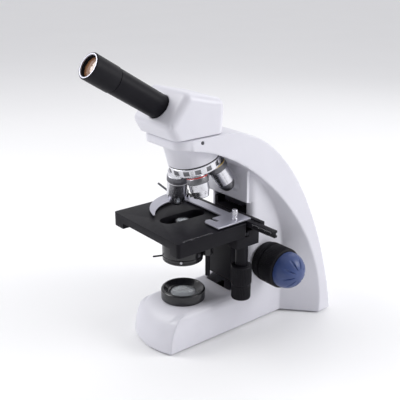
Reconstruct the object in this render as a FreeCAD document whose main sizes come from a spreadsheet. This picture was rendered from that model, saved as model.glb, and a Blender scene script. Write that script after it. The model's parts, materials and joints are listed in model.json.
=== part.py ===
import FreeCAD, Part
import math
import os

import Sketcher
from FreeCAD import Placement, Rotation, Vector

# A monocular laboratory microscope, in millimetres, +Z up and -Y towards the person using it.
# The origin is where the optical axis meets the bench.

DIMENSIONS = [
    # stand
    ("foot_height", 2.0),
    ("foot_radius", 7.0),
    ("base_half", 38.5),
    ("base_top", 49.0),
    ("base_front", 46.5),
    ("nose_bulge", 10.5),
    ("column_front", 75.0),
    ("foot_blend", 20.0),
    ("split_height", 72.0),
    ("bulge_front", 70.0),
    ("bulge_bottom", 166.0),
    ("arm_bottom", 247.0),
    ("arm_top", 258.5),
    ("arm_front", 31.0),
    ("stand_back", 187.5),
    ("foot_spread", 76.8),
    ("side_draft", 0.151),
    ("slot_half", 29.5),
    ("recess_half", 24.0),
    ("wall", 4.0),
    # lighting
    ("ring_radius", 27.2),
    ("ring_top", 62.0),
    ("lens_radius", 15.8),
    # focus drive
    ("knob_y", 100.0),
    ("knob_z", 85.0),
    ("coarse_radius", 25.5),
    ("coarse_start", 46.0),
    ("coarse_end", 76.0),
    ("fine_radius", 22.5),
    ("fine_end", 100.5),
    ("focus_pitch_radius", 8.0),
    # stage
    ("stage_half", 65.0),
    ("stage_front", 55.0),
    ("stage_back", 45.5),
    ("stage_top", 155.2),
    ("stage_thickness", 9.5),
    ("skirt_width", 20.0),
    ("skirt_depth", 7.0),
    ("hole_half_length", 31.0),
    ("hole_radius", 10.5),
    ("plate_gap", 0.4),
    ("lower_thickness", 12.0),
    ("bracket_half", 22.0),
    ("bracket_front", 58.0),
    ("bracket_bottom", 60.0),
    # stage drive
    ("coax_x", 56.0),
    ("coax_y", 45.5),
    ("stem_radius", 7.5),
    ("coax_upper_radius", 12.6),
    ("coax_lower_radius", 11.8),
    ("coax_top", 100.0),
    ("coax_split", 75.3),
    ("coax_bottom", 56.5),
    ("bar_front", 47.0),
    ("bar_back", 54.6),
    ("bar_bottom", 148.6),
    ("bar_top", 157.0),
    ("bar_left", 60.0),
    ("bar_right", 104.5),
    ("holder_thickness", 2.0),
    # condenser
    ("condenser_radius", 25.0),
    ("condenser_bottom", 101.0),
    ("condenser_top", 151.5),
    ("iris_height", 5.0),
    # nosepiece and objectives
    ("nose_apex", 286.9),
    ("nose_tilt", 16.0),
    ("turret_start", 63.6),
    ("turret_end", 75.4),
    ("turret_radius", 31.4),
    ("seat_distance", 79.9),
    # head
    ("head_bottom", 259.3),
    ("head_half", 37.0),
    ("tube_tilt", 32.0),
    ("tube_cross", 272.7),
    ("tube_radius", 14.5),
    ("tube_start", 30.0),
    ("tube_end", 103.5),
    ("eyepiece_radius", 15.0),
    ("eyepiece_end", 136.8),
    ("barrel_radius", 11.6),
]

doc = FreeCAD.newDocument("microscope")
sheet = doc.addObject("Spreadsheet::Sheet", "dims")
for row, (alias, value) in enumerate(DIMENSIONS, start=1):
    sheet.set(f"A{row}", alias)
    sheet.set(f"B{row}", str(value))
    sheet.setAlias(f"B{row}", alias)
doc.recompute()


class Size:
    """A length worked out from the sheet: its number, and the expression that gives it."""

    def __init__(self, value, text):
        self.value = value
        self.text = text

    def _join(self, sign, other, value):
        other = as_size(other)
        return Size(value(self.value, other.value), f"({self.text} {sign} {other.text})")

    def __add__(self, other):
        return self._join("+", other, lambda a, b: a + b)

    def __sub__(self, other):
        return self._join("-", other, lambda a, b: a - b)

    def __mul__(self, other):
        return self._join("*", other, lambda a, b: a * b)

    def __truediv__(self, other):
        return self._join("/", other, lambda a, b: a / b)

    def __radd__(self, other):
        return as_size(other) + self

    def __rsub__(self, other):
        return as_size(other) - self

    def __rmul__(self, other):
        return as_size(other) * self

    def __neg__(self):
        return Size(-self.value, f"(0 - {self.text})")


def as_size(number):
    if isinstance(number, Size):
        return number
    return Size(float(number), f"({float(number):.6f})")


class Dims:
    """The sheet's values by name."""


D = Dims()
for alias, _ in DIMENSIONS:
    setattr(D, alias, Size(float(sheet.get(alias)), f"dims.{alias}"))

NODES = {}
UP = Rotation()
ALONG_X = Rotation(Vector(0, 1, 0), 90)
ALONG_MINUS_X = Rotation(Vector(0, 1, 0), -90)
ALONG_MINUS_Y = Rotation(Vector(1, 0, 0), 90)
NOSE_AXIS = Rotation(Vector(1, 0, 0), 180 + D.nose_tilt.value)
TUBE_AXIS = Rotation(Vector(1, 0, 0), 90 - D.tube_tilt.value)


def bind(thing, prop, size):
    """Ties a property to the sheet."""
    thing.setExpression(prop, as_size(size).text)


def place(thing, at, turn=UP):
    """Puts a thing at a point given by sizes."""
    sizes = [as_size(value) for value in at]
    thing.Placement = Placement(Vector(*[size.value for size in sizes]), turn)
    for letter, size in zip("xyz", sizes):
        bind(thing, f"Placement.Base.{letter}", size)
    return thing


def box(name, low, high):
    """A block between two corners."""
    thing = doc.addObject("Part::Box", name)
    for prop, start, end in zip(("Length", "Width", "Height"), low, high):
        bind(thing, prop, as_size(end) - start)
    return place(thing, low)


def cylinder(name, radius, length, at, turn=UP):
    thing = doc.addObject("Part::Cylinder", name)
    bind(thing, "Radius", radius)
    bind(thing, "Height", length)
    return place(thing, at, turn)


def cut(name, base, *tools):
    thing = doc.addObject("Part::Cut", name)
    thing.Base = base
    thing.Tool = tools[0] if len(tools) == 1 else join(name + "_tools", *tools)
    return thing


def join(name, *parts):
    thing = doc.addObject("Part::MultiFuse", name)
    thing.Shapes = list(parts)
    return thing


def group(name, *parts):
    """Separate solids of one node."""
    thing = doc.addObject("Part::Compound", name)
    thing.Links = list(parts)
    return thing


def turned(name, profile, at=(0, 0, 0), turn=UP):
    """A lathe-turned piece: a sketch of (radius, height) corners, revolved about its own Z axis."""
    body = doc.addObject("PartDesign::Body", name + "_body")
    sketch = body.newObject("Sketcher::SketchObject", name + "_sketch")
    plane = [f for f in body.Origin.OriginFeatures if f.Role == "XZ_Plane"][0]
    sketch.AttachmentSupport = [(plane, "")]
    sketch.MapMode = "FlatFace"
    corners = [(as_size(radius), as_size(height)) for radius, height in profile]
    points = [Vector(radius.value, height.value, 0) for radius, height in corners]
    for index, start in enumerate(points):
        sketch.addGeometry(Part.LineSegment(start, points[(index + 1) % len(points)]))
    for index in range(len(points)):
        following = (index + 1) % len(points)
        sketch.addConstraint(Sketcher.Constraint("Coincident", index, 2, following, 1))
    for index, (radius, height) in enumerate(corners):
        if radius.value == 0:
            sketch.addConstraint(Sketcher.Constraint("PointOnObject", index, 1, -2))
        else:
            number = sketch.addConstraint(
                Sketcher.Constraint("DistanceX", -1, 1, index, 1, radius.value))
            sketch.setExpression(f"Constraints[{number}]", radius.text)
        if height.value == 0:
            sketch.addConstraint(Sketcher.Constraint("PointOnObject", index, 1, -1))
        else:
            number = sketch.addConstraint(
                Sketcher.Constraint("DistanceY", -1, 1, index, 1, height.value))
            sketch.setExpression(f"Constraints[{number}]", height.text)
    revolve = body.newObject("PartDesign::Revolution", name + "_revolve")
    revolve.Profile = sketch
    revolve.ReferenceAxis = (sketch, ["V_Axis"])
    revolve.Angle = 360
    return place(body, at, turn)


def shaped(name, shape):
    """A piece whose shape comes from Part's own functions."""
    thing = doc.addObject("Part::Feature", name)
    thing.Shape = shape
    return thing


def node(name, thing):
    thing.Label = name
    NODES[name] = thing
    return thing


def bezier(points):
    """A Bezier curve in the plane x = 0 with (y, z) poles."""
    smooth = Part.BezierCurve()
    smooth.setPoles([Vector(0, y, z) for y, z in points])
    return smooth


def curve(points):
    return bezier(points).toShape()


def piece_of(points, start, end):
    """The poles of the part of a Bezier curve between two of its parameters."""
    smooth = bezier(points)
    smooth.segment(start, end)
    return [(pole.y, pole.z) for pole in smooth.getPoles()]


def line(start, end):
    return Part.LineSegment(Vector(0, *start), Vector(0, *end)).toShape()


def slab(edges, x_low, x_high):
    """Extrudes a closed YZ outline along X."""
    face = Part.Face(Part.Wire(Part.__sortEdges__(edges)))
    face.translate(Vector(x_low, 0, 0))
    return face.extrude(Vector(x_high - x_low, 0, 0))


def block(low, high):
    """A plain block between two corners, as a shape."""
    size = [end - start for start, end in zip(low, high)]
    return Part.makeBox(*size, Vector(*low))


def rod(radius, length, at, direction):
    """A plain cylinder, as a shape."""
    return Part.makeCylinder(radius, length, Vector(*at), Vector(*direction))


def spun(profile):
    """A shape turned about Z from (radius, height) corners."""
    corners = [Vector(radius, 0, height) for radius, height in profile]
    face = Part.Face(Part.makePolygon(corners + corners[:1]))
    return face.revolve(Vector(0, 0, 0), Vector(0, 0, 1), 360)


def both_sides(shape):
    """The shape and its mirror image in the plane x = 0."""
    return [shape, shape.mirror(Vector(0, 0, 0), Vector(1, 0, 0))]


# ---------------------------------------------------------------- stand
bottom = D.foot_height.value
base_half = D.base_half.value
base_top = D.base_top.value
front = -D.base_front.value
back = D.stand_back.value
arm_top = D.arm_top.value
arm_front = -D.arm_front.value
spread = D.foot_spread.value
draft = D.side_draft.value
column_front = D.column_front.value
blend = D.foot_blend.value
wall = D.wall.value

HEAD_REST = 28.0
ARM_LIP = -22.0
ARCH_FOOT = 167.0
ARCH_OUTER = [(HEAD_REST, arm_top), (155.0, arm_top + 3.5), (back + 3.0, 74.0), (back, bottom)]
ARCH_INNER = [(ARM_LIP, D.arm_bottom.value), (77.0, 238.0), (193.0, 110.0), (ARCH_FOOT, bottom)]
FLARE_FOOT = 131.0
FLARE_BACK = [(97.0, 212.5), (140.0, 190.0), (181.0, 120.0), (181.0, bottom)]
NOSE_TOP = -20.0


knee = bezier(ARCH_INNER).parameter(Vector(0, D.bulge_front.value, 212.0))
ARM_UNDERSIDE = piece_of(ARCH_INNER, 0.0, knee)
LEG_INNER = piece_of(ARCH_INNER, knee, 1.0)
KNEE_Y, KNEE_Z = LEG_INNER[0]
FLARE_INNER = [(KNEE_Y, KNEE_Z), (150.0, 132.0), (123.0, 84.0), (FLARE_FOOT, bottom)]


def side_at(height):
    """The half width of the arch's drafted side face at a height."""
    return spread - draft * height


def nose_curve(front_y):
    """The sloping front of the base, as a Bezier edge from the bench to the top."""
    return curve([(front_y, bottom), (front_y + 1.0, 36.0),
                  (NOSE_TOP - 14.0, base_top), (NOSE_TOP, base_top)])


def core_outline():
    """The side view of the stand: base, column, bulge, arm and the arch's back."""
    bulge_bottom = D.bulge_bottom.value
    blend_start = (column_front - blend, base_top)
    blend_end = (column_front, base_top + blend)
    reach = blend * math.sqrt(0.5)
    corner = Vector(0, blend_start[0] + reach, blend_end[1] - reach)
    fillet = Part.Arc(Vector(0, *blend_start), corner, Vector(0, *blend_end)).toShape()
    return [
        line((NOSE_TOP, bottom), (back, bottom)),
        line((NOSE_TOP, bottom), (NOSE_TOP, base_top)),
        line((NOSE_TOP, base_top), blend_start),
        fillet,
        line(blend_end, (column_front, bulge_bottom)),
        line((column_front, bulge_bottom), (KNEE_Y, bulge_bottom)),
        line((KNEE_Y, bulge_bottom), (KNEE_Y, KNEE_Z)),
        curve(ARM_UNDERSIDE),
        line((ARM_LIP, D.arm_bottom.value), (arm_front, D.arm_bottom.value)),
        line((arm_front, D.arm_bottom.value), (arm_front, arm_top)),
        line((arm_front, arm_top), (HEAD_REST, arm_top)),
        curve(ARCH_OUTER),
    ]


def arch_band():
    """The arch's wide band between its inner and outer curves, inside the drafted sides."""
    edges = [
        curve(ARCH_INNER),
        line((ARCH_FOOT, bottom), (back, bottom)),
        curve(ARCH_OUTER),
        line((HEAD_REST, arm_top), (arm_front, arm_top)),
        line((arm_front, arm_top), (arm_front, D.arm_bottom.value)),
        line((arm_front, D.arm_bottom.value), (ARM_LIP, D.arm_bottom.value)),
    ]
    band = slab(edges, -spread, spread)
    low, high = side_at(0.0), side_at(arm_top + 10.0)
    corners = [Vector(-low, 0, 0), Vector(low, 0, 0),
               Vector(high, 0, arm_top + 10.0), Vector(-high, 0, arm_top + 10.0)]
    wedge = Part.Face(Part.makePolygon(corners + corners[:1]))
    wedge.translate(Vector(0, arm_front - 10.0, 0))
    return band.common(wedge.extrude(Vector(0, back - arm_front + 20.0, 0)))


def flare():
    """The scooped surface from the column's flat side out to the arch's side face."""
    def section(scoop, x_of):
        edges = []
        for points in (scoop, FLARE_BACK):
            smooth = Part.BezierCurve()
            smooth.setPoles([Vector(x_of(z), y, z) for y, z in points])
            edges.append(smooth.toShape())
        ends = [edge.valueAt(end) for edge in edges for end in (edge.FirstParameter, edge.LastParameter)]
        edges.append(Part.LineSegment(ends[0], ends[2]).toShape())
        edges.append(Part.LineSegment(ends[1], ends[3]).toShape())
        return Part.Wire(Part.__sortEdges__(edges))

    inner = section(FLARE_INNER, lambda height: base_half - 1.0)
    outer = section(LEG_INNER, side_at)
    return Part.makeLoft([inner, outer], True, True)


core = slab(core_outline(), -base_half, base_half)
stand = core.fuse([arch_band()] + both_sides(flare()))

# the room the revolving nosepiece needs under the arm, about its own axis
NOSE_ROOM = [(0, 45.0), (32.6, 45.0), (32.6, 64.0), (36.0, 72.0), (38.5, 82.0), (42.0, 95.0),
             (44.6, 106.0), (44.6, 118.0), (42.0, 124.0), (0, 124.0)]
nose_room = spun(NOSE_ROOM)
nose_room.Placement = Placement(Vector(0, 0, D.nose_apex.value), NOSE_AXIS)

# places in the stand's walls: the power inlet, the switch, the dial's spindle and two screws
INLET = ((-base_half, 114.0, 14.0), (-base_half + 12.0, 124.0, 24.0))
SWITCH_HOLE = ((-base_half - 1.0, 82.0, 16.0), (-base_half + wall + 1.0, 96.0, 27.0))
DIAL = (58.0, 24.0)
HEAD_LOCK = (side_at(253.5) - 7.7, 0.0, 253.5)
GUIDE_SCREW = (28.0, D.bulge_front.value + 7.7, 176.0)

# the hollow inside, the slot for the focusing slide and the holes for the lamp and shafts
slot_half = D.slot_half.value
recess_half = D.recess_half.value
inner_half = base_half - wall
hollows = [
    block((-inner_half, front + 6.0, bottom), (inner_half, 150.0, base_top - 5.0)),
    block((-inner_half, column_front + 5.0, base_top - 6.0), (inner_half, 145.0, 160.0)),
    block((-slot_half, column_front - 2.0, base_top + blend), (slot_half, 90.0, D.bulge_bottom.value)),
    block((-recess_half, 56.0, base_top - 7.5), (recess_half, 90.0, base_top + blend + 1.0)),
    rod(22.3, 12.0, (0, 0, base_top - 8.0), (0, 0, 1)),
    rod(10.05, 2 * spread, (-spread, D.knob_y.value, D.knob_z.value), (1, 0, 0)),
    rod(26.05, 16.6, (0, 0, D.arm_bottom.value - 5.0), (0, 0, 1)),
    nose_room,
    block(*INLET),
    block(*SWITCH_HOLE),
    rod(3.0, 12.0, (-base_half - 1.0, *DIAL), (1, 0, 0)),
    rod(1.9, 12.0, HEAD_LOCK, (1, 0, 0)),
    rod(1.9, 9.0, GUIDE_SCREW, (0, -1, 0)),
]
stand = stand.cut(hollows)
front_corners = []
for edge in core.Edges:
    middle = edge.valueAt((edge.FirstParameter + edge.LastParameter) / 2)
    if abs(middle.y - arm_front) < 1e-3 and abs(edge.tangentAt(edge.FirstParameter).z) > 0.99:
        front_corners.append(middle)
corner_radius = 17.0
for x_sign in (-1, 1):
    x_edge = side_at(arm_top)
    square = block((0, arm_front - 1.0, 240.0), (60.0, arm_front + corner_radius, 262.0))
    round_part = rod(corner_radius, 30.0,
                     (x_edge - corner_radius, arm_front + corner_radius, 238.0), (0, 0, 1))
    keep = block((-60.0, arm_front - 1.0, 238.0), (x_edge - corner_radius, arm_front + corner_radius, 262.0))
    trim = square.cut([round_part, keep])
    if x_sign < 0:
        trim = trim.mirror(Vector(0, 0, 0), Vector(1, 0, 0))
    stand = stand.cut(trim)

split = D.split_height.value
far = 400.0
lower_half = block((-far, -far, 0), (far, far, split))
upper_half = block((-far, -far, split), (far, far, far))
node("stand_base", shaped("stand_base_part", stand.common(lower_half).Solids[0]))
node("stand_arch", shaped("stand_arch_part", stand.common(upper_half).Solids[0]))

# the convex cover on the front of the base, between its two flat cheeks
nose_sections = []
for x in (-base_half, -base_half * 0.6, 0.0, base_half * 0.6, base_half):
    swell = 0.8 + (D.nose_bulge.value - 0.8) * (1 - (x / base_half) ** 2)
    edge = nose_curve(front - swell)
    closing = Part.makePolygon([Vector(0, NOSE_TOP, base_top), Vector(0, NOSE_TOP, bottom),
                                Vector(0, front - swell, bottom)])
    wire = Part.Wire(Part.__sortEdges__([edge] + closing.Edges))
    wire.translate(Vector(x, 0, 0))
    nose_sections.append(wire)
nose = Part.makeLoft(nose_sections, True, False)
nose_hollows = [
    rod(22.3, 12.0, (0, 0, base_top - 8.0), (0, 0, 1)),
    block((-inner_half, front + 6.0, bottom), (inner_half, NOSE_TOP + 1.0, 22.0)),
    block((-30.0, -32.0, bottom), (30.0, NOSE_TOP + 1.0, 41.5)),
]
node("nose_cover", shaped("nose_cover_part", nose.cut(nose_hollows)))

# the steel sheet under the base, with holes for the two front feet and the screws
plate_edge = inner_half - 0.2
plate_top = D.foot_height + 1.5
FRONT_FEET = ((26.0, -18.0), (-26.0, -18.0))
REAR_FEET = ((60.0, 172.0), (-60.0, 172.0))
SCREWS = [(x, y) for x in (-28.0, 28.0) for y in (0.0, 60.0, 140.0)]
screw_radius = 3.0
hole_gap = 0.05
feet, screws, plate_holes = [], [], []
for x, y in FRONT_FEET:
    feet.append(cylinder(f"foot_{len(feet)}", D.foot_radius, plate_top, (x, y, 0)))
    plate_holes.append(cylinder(f"foot_hole_{len(plate_holes)}", D.foot_radius + hole_gap, 4.0, (x, y, 1.0)))
for x, y in REAR_FEET:
    feet.append(cylinder(f"foot_{len(feet)}", D.foot_radius, D.foot_height, (x, y, 0)))
for x, y in SCREWS:
    screws.append(cylinder(f"plate_screw_{len(screws)}", screw_radius, 2.7, (x, y, D.foot_height - 1.2)))
    plate_holes.append(cylinder(f"screw_hole_{len(plate_holes)}", screw_radius + hole_gap, 4.0, (x, y, 1.0)))
node("base_plate", cut(
    "base_plate_part",
    box("base_plate_sheet", (-plate_edge, front + 6.3, D.foot_height), (plate_edge, 149.7, plate_top)),
    *plate_holes))
node("rubber_feet", group("rubber_feet_group", *feet))
node("base_screws", group("base_screws_group", *screws))

# ---------------------------------------------------------------- lamp and lighting
node("collector_ring", turned("collector_ring_part", [
    (15.0, D.base_top - 7), (22.0, D.base_top - 7), (22.0, D.base_top), (D.ring_radius, D.base_top),
    (D.ring_radius, D.ring_top - 1), (D.ring_radius - 1, D.ring_top), (24.0, D.ring_top),
    (17.0, D.ring_top - 5), (D.lens_radius + 0.05, D.ring_top - 5.5),
    (D.lens_radius + 0.05, D.ring_top - 9.5), (15.0, D.ring_top - 9.5)]))
node("collector_lens", turned("collector_lens_part", [
    (0, D.ring_top - 9), (D.lens_radius, D.ring_top - 9), (D.lens_radius, D.ring_top - 6.5),
    (12.0, D.ring_top - 4.6), (6.5, D.ring_top - 3.4), (0, D.ring_top - 3.0)]))
node("lamp_holder", turned("lamp_holder_part", [
    (0, plate_top), (14.0, plate_top), (14.0, 14.0), (9.0, 14.0), (9.0, 16.0), (14.0, 16.0), (14.0, 18.0),
    (9.0, 18.0), (9.0, 20.0), (14.0, 20.0), (14.0, 24.0), (0, 24.0)]))
node("led_lamp", turned("led_lamp_part", [
    (0, 24.0), (6.0, 24.0), (6.0, 25.5), (3.0, 25.5), (2.0, 27.6), (0, 28.2)]))
board_low = 9.0
pillars = []
for x, y in ((-21.0, 43.0), (17.0, 43.0), (-21.0, 89.0), (17.0, 89.0)):
    pillars.append(cylinder(f"board_pillar_{len(pillars)}", 2.2, board_low - 1.5 - D.foot_height,
                            (x, y, D.foot_height + 1.5)))
node("driver_board", join("driver_board_part",
                          box("circuit_board", (-24.0, 40.0, board_low), (20.0, 92.0, board_low + 1.6)),
                          *pillars))

left = -base_half
node("power_inlet", cut("power_inlet_part",
                        join("power_inlet_solid",
                             box("inlet_body", *INLET),
                             cylinder("inlet_collar", 6.0, 1.2, (left, 119.0, 19.0), ALONG_MINUS_X)),
                        cylinder("inlet_bore", 3.0, 10.0, (left + 8.0, 119.0, 19.0), ALONG_MINUS_X)))
switch_gap = 0.6
node("power_switch", join(
    "power_switch_part",
    box("switch_rocker", (left - 1.8, 82.0 + switch_gap, 16.3), (left + 5.0, 96.0 - switch_gap, 26.7)),
    cylinder("switch_pivot", 1.2, 10.8, (left + 2.0, 89.0, 16.1))))
node("brightness_dial", turned("brightness_dial_part", [
    (0, -8.0), (2.92, -8.0), (2.92, 0.4), (9.5, 0.4), (9.5, 7.3), (8.5, 8.3), (0, 8.3)],
    (left, *DIAL), ALONG_MINUS_X))

# ---------------------------------------------------------------- small fixed pieces of the stand
node("set_screws", group(
    "set_screws_group",
    cylinder("head_lock_screw", 1.9, 8.0, HEAD_LOCK, ALONG_X),
    cylinder("guide_screw", 1.9, 8.0, GUIDE_SCREW, ALONG_MINUS_Y)))


def mount_shape():
    """The fixed cone that carries the nosepiece: a tilted drum under a round spigot."""
    slope = math.radians(D.nose_tilt.value)
    direction = (0, math.sin(slope), -math.cos(slope))
    top = D.arm_bottom.value
    start = [part * 28.0 for part in direction]
    drum = rod(D.turret_radius.value, 34.2, (0, start[1], D.nose_apex.value + start[2]), direction)
    drum = drum.common(block((-60, -60, 180), (60, 60, top)))
    spigot = rod(26.0, 5.0, (0, 0, top), (0, 0, 1))
    light_path = rod(8.0, 60.0, (0, 0, 200), (0, 0, 1))
    axle_start = [part * 50.0 for part in direction]
    axle_hole = rod(4.0, 20.0, (0, axle_start[1], D.nose_apex.value + axle_start[2]), direction)
    return drum.fuse(spigot).cut([stand, light_path, axle_hole])


node("nosepiece_mount", shaped("nosepiece_mount_part", mount_shape()))

# ---------------------------------------------------------------- focus drive, on a cross shaft
knob_y, knob_z = D.knob_y, D.knob_z
TOOTH_TIP, TOOTH_PITCH, TOOTH_ROOT = 0.10, 0.20, 0.30
ADDENDUM, DEDENDUM = 0.25, 0.35
GEAR_TEETH = 20
SMALL_TEETH = 12


def gear(radius, teeth, width, bore):
    """A spur pinion along +Z with a tooth on +X, as a shape."""
    pitch = 2 * math.pi * radius / teeth
    corners = []
    for index in range(teeth):
        centre = 2 * math.pi * index / teeth
        for half, height in ((-TOOTH_ROOT, -DEDENDUM), (-TOOTH_TIP, ADDENDUM),
                             (TOOTH_TIP, ADDENDUM), (TOOTH_ROOT, -DEDENDUM)):
            turn = centre + half * pitch / radius
            reach = radius + height * pitch
            corners.append(Vector(reach * math.cos(turn), reach * math.sin(turn), 0))
    face = Part.Face(Part.makePolygon(corners + corners[:1]))
    return face.extrude(Vector(0, 0, width)).cut(rod(bore, width, (0, 0, 0), (0, 0, 1)))


def rack(radius, teeth, count_low, count_high, depth, width):
    """A rack along X, its pitch line on y = 0 and its back at y = -depth, with a gap at x = 0."""
    pitch = 2 * math.pi * radius / teeth
    low, high = -count_low * pitch, count_high * pitch
    corners = [Vector(high, -depth, 0), Vector(low, -depth, 0), Vector(low, -DEDENDUM * pitch, 0)]
    for index in range(-count_low, count_high):
        centre = (index + 0.5) * pitch
        for half, height in ((-TOOTH_ROOT, -DEDENDUM), (-TOOTH_TIP, ADDENDUM),
                             (TOOTH_TIP, ADDENDUM), (TOOTH_ROOT, -DEDENDUM)):
            corners.append(Vector(centre + half * pitch, height * pitch, 0))
    corners.append(Vector(high, -DEDENDUM * pitch, 0))
    return Part.Face(Part.makePolygon(corners + corners[:1])).extrude(Vector(0, 0, width))


def turned_pair(name, profile):
    """The same turned piece on both ends of the cross shaft."""
    at = (0, knob_y, knob_z)
    return [turned(name + "_right", profile, at, ALONG_X), turned(name + "_left", profile, at, ALONG_MINUS_X)]


rail_low, rail_high = D.recess_half, D.slot_half
node("focus_guide", group(
    "focus_guide_rails",
    box("rail_right", (rail_low, D.column_front + 0.2, 76), (rail_high, 87, 158)),
    box("rail_left", (-rail_high, D.column_front + 0.2, 76), (-rail_low, 87, 158))))

shaft_radius = 5.0
fit = 0.1
node("shaft_bushes", group("shaft_bushes_group", *turned_pair("bush", [
    (shaft_radius + fit, 34.6), (10.0, 34.6), (10.0, D.base_half), (12.0, D.base_half), (12.0, 40.0),
    (9.0, 40.0), (9.0, 45.7), (shaft_radius + fit, 45.7)])))
node("tension_ring", turned("tension_ring_part", [
    (9.1, 40.3), (23.4, 40.3), (24.0, 41.0), (24.0, 44.6), (23.4, 45.4), (9.1, 45.4)],
    (0, knob_y, knob_z), ALONG_X))

shaft_reach = 66.0
pinion_half = 4.0
coarse_tube = rod(shaft_radius, 2 * shaft_reach, (-shaft_reach, 0, 0), (1, 0, 0))
pinion = gear(D.focus_pitch_radius.value, GEAR_TEETH, 2 * pinion_half, shaft_radius - 0.5)
pinion.rotate(Vector(0, 0, 0), Vector(0, 0, 1), -90)
pinion.rotate(Vector(0, 0, 0), Vector(0, 1, 0), 90)
pinion.translate(Vector(-pinion_half, 0, 0))
coarse_shaft = coarse_tube.fuse(pinion).cut(rod(2.6, 2 * shaft_reach, (-shaft_reach, 0, 0), (1, 0, 0)))
coarse_shaft.translate(Vector(0, knob_y.value, knob_z.value))
node("coarse_shaft", shaped("coarse_shaft_part", coarse_shaft))

coarse_profile = [
    (shaft_radius, D.coarse_start), (D.coarse_radius - 1, D.coarse_start),
    (D.coarse_radius, D.coarse_start + 1), (D.coarse_radius, D.coarse_start + 7),
    (D.coarse_radius - 0.8, D.coarse_start + 7.6), (D.coarse_radius, D.coarse_start + 8.2),
    (D.coarse_radius, D.coarse_end - 1.5), (D.coarse_radius - 1.5, D.coarse_end),
    (14.0, D.coarse_end), (14.0, D.coarse_end - 4), (shaft_radius, D.coarse_end - 4)]
for side, knob in zip(("right", "left"), turned_pair("coarse_knob", coarse_profile)):
    node(f"coarse_knob_{side}", knob)

node("fine_shaft", cylinder("fine_shaft_part", 2.4, 180, (-90, knob_y, knob_z), ALONG_X))
fine_profile = [
    (0, D.fine_end - 1.2), (4.0, D.fine_end - 1.2), (5.2, D.fine_end), (7.4, D.fine_end - 0.3),
    (11.5, D.fine_end - 2.0), (15.5, D.fine_end - 5.0), (18.8, D.fine_end - 9.0),
    (21.0, D.fine_end - 13.5), (22.2, D.fine_end - 18.5), (D.fine_radius, D.coarse_end + 3),
    (D.fine_radius, D.coarse_end + 0.4), (4.0, D.coarse_end + 0.4), (4.0, D.coarse_end - 2.5),
    (2.4, D.coarse_end - 2.5), (2.4, 90), (0, 90)]
FLUTES = 8
for side, sign, knob in zip(("right", "left"), (1, -1), turned_pair("fine_knob", fine_profile)):
    flutes = []
    for index in range(FLUTES):
        turn = 2 * math.pi * (index + 0.5) / FLUTES
        across, up = math.cos(turn), math.sin(turn)
        start = (sign * (D.fine_end + 0.6), knob_y + 7.5 * across, knob_z + 7.5 * up)
        heading = Rotation(Vector(0, 0, 1), Vector(-sign * 16.5, 16.0 * across, 16.0 * up))
        flutes.append(cylinder(f"flute_{side}_{index}", 1.9, 30.0, start, heading))
    node(f"fine_knob_{side}", cut(f"fine_knob_{side}_part", knob, *flutes))

# ---------------------------------------------------------------- focusing carriage
slide_half = 23.5
slide_front, slide_back = 70.0, 88.0
slide_block = box("focus_slide_block", (-slide_half, slide_front, 66), (slide_half, slide_back, 150))
focus_radius = D.focus_pitch_radius.value
focus_rack = rack(focus_radius, GEAR_TEETH, 7, 19, knob_y.value - focus_radius - slide_back, 8.0)
focus_rack.rotate(Vector(0, 0, 0), Vector(0, 1, 0), -90)
focus_rack.translate(Vector(4.0, knob_y.value - focus_radius, knob_z.value))
lower_top = D.stage_top - D.stage_thickness - D.plate_gap - 0.1
lower_bottom = lower_top - D.lower_thickness - 0.2
bracket = box("stage_bracket", (-D.bracket_half, D.bracket_front, D.bracket_bottom),
              (D.bracket_half, slide_front, lower_bottom))
node("focus_slide", join("focus_slide_part", slide_block, bracket))

lower_half_width = 44.5
post_at = 21.5
node("lower_stage_plate", cut(
    "lower_stage_plate_part",
    join("lower_plate_solid",
         box("lower_plate_block", (-lower_half_width, -30, lower_bottom), (lower_half_width, 70, lower_top)),
         cylinder("condenser_post", 3.0, lower_bottom - 79, (post_at, post_at, 80))),
    cylinder("condenser_hole", 27, 20, (0, 0, lower_bottom - 2))))

coax_x, coax_y = D.coax_x, D.coax_y
y_radius = 8.0
y_gear_bottom = 139.5
y_rack = rack(y_radius, GEAR_TEETH, 12, 7, coax_x.value - y_radius - lower_half_width, 4.0)
y_rack.rotate(Vector(0, 0, 0), Vector(0, 0, 1), 90)
y_rack = y_rack.mirror(Vector(0, 0, 0), Vector(1, 0, 0))
y_rack.translate(Vector(coax_x.value - y_radius, coax_y.value, y_gear_bottom))
node("drive_racks", group("drive_racks_group", shaped("focus_rack", focus_rack), shaped("y_rack", y_rack)))

# ---------------------------------------------------------------- condenser
iris_top = D.condenser_bottom + 3.0
body_flange = iris_top + 0.2
holder_bottom = D.condenser_bottom + 7.3
holder_top = 131.0
screw_heading = Rotation(Vector(0, 0, 1), Vector(0.75, -0.66, 0))
screw_at = (18.2, -16.02, 106.2)
condenser_blank = turned("condenser_blank", [
    (9.0, body_flange), (D.condenser_radius, body_flange), (D.condenser_radius, holder_bottom - 0.1),
    (20.0, holder_bottom - 0.1), (20.0, 144.0), (9.2, 144.0), (9.2, D.condenser_top - 0.6),
    (8.6, D.condenser_top), (7.6, D.condenser_top), (7.6, 149.0), (6.6, 149.0), (6.6, 128.0),
    (9.0, 128.0)])
node("condenser_body", cut("condenser_body_part", condenser_blank,
                           cylinder("condenser_screw_hole", 1.5, 3.0, screw_at, screw_heading)))
node("condenser_screw", cylinder("condenser_screw_part", 1.5, 1.9, screw_at, screw_heading))
node("condenser_lens", turned("condenser_lens_part", [
    (0, 149.2), (7.5, 149.2), (7.5, D.condenser_top - 0.7), (4.5, D.condenser_top - 0.2),
    (0, D.condenser_top)]))
holder_ring = turned("condenser_holder_ring", [
    (20.1, holder_bottom), (D.condenser_radius, holder_bottom),
    (D.condenser_radius, holder_top), (20.1, holder_top)])
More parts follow.
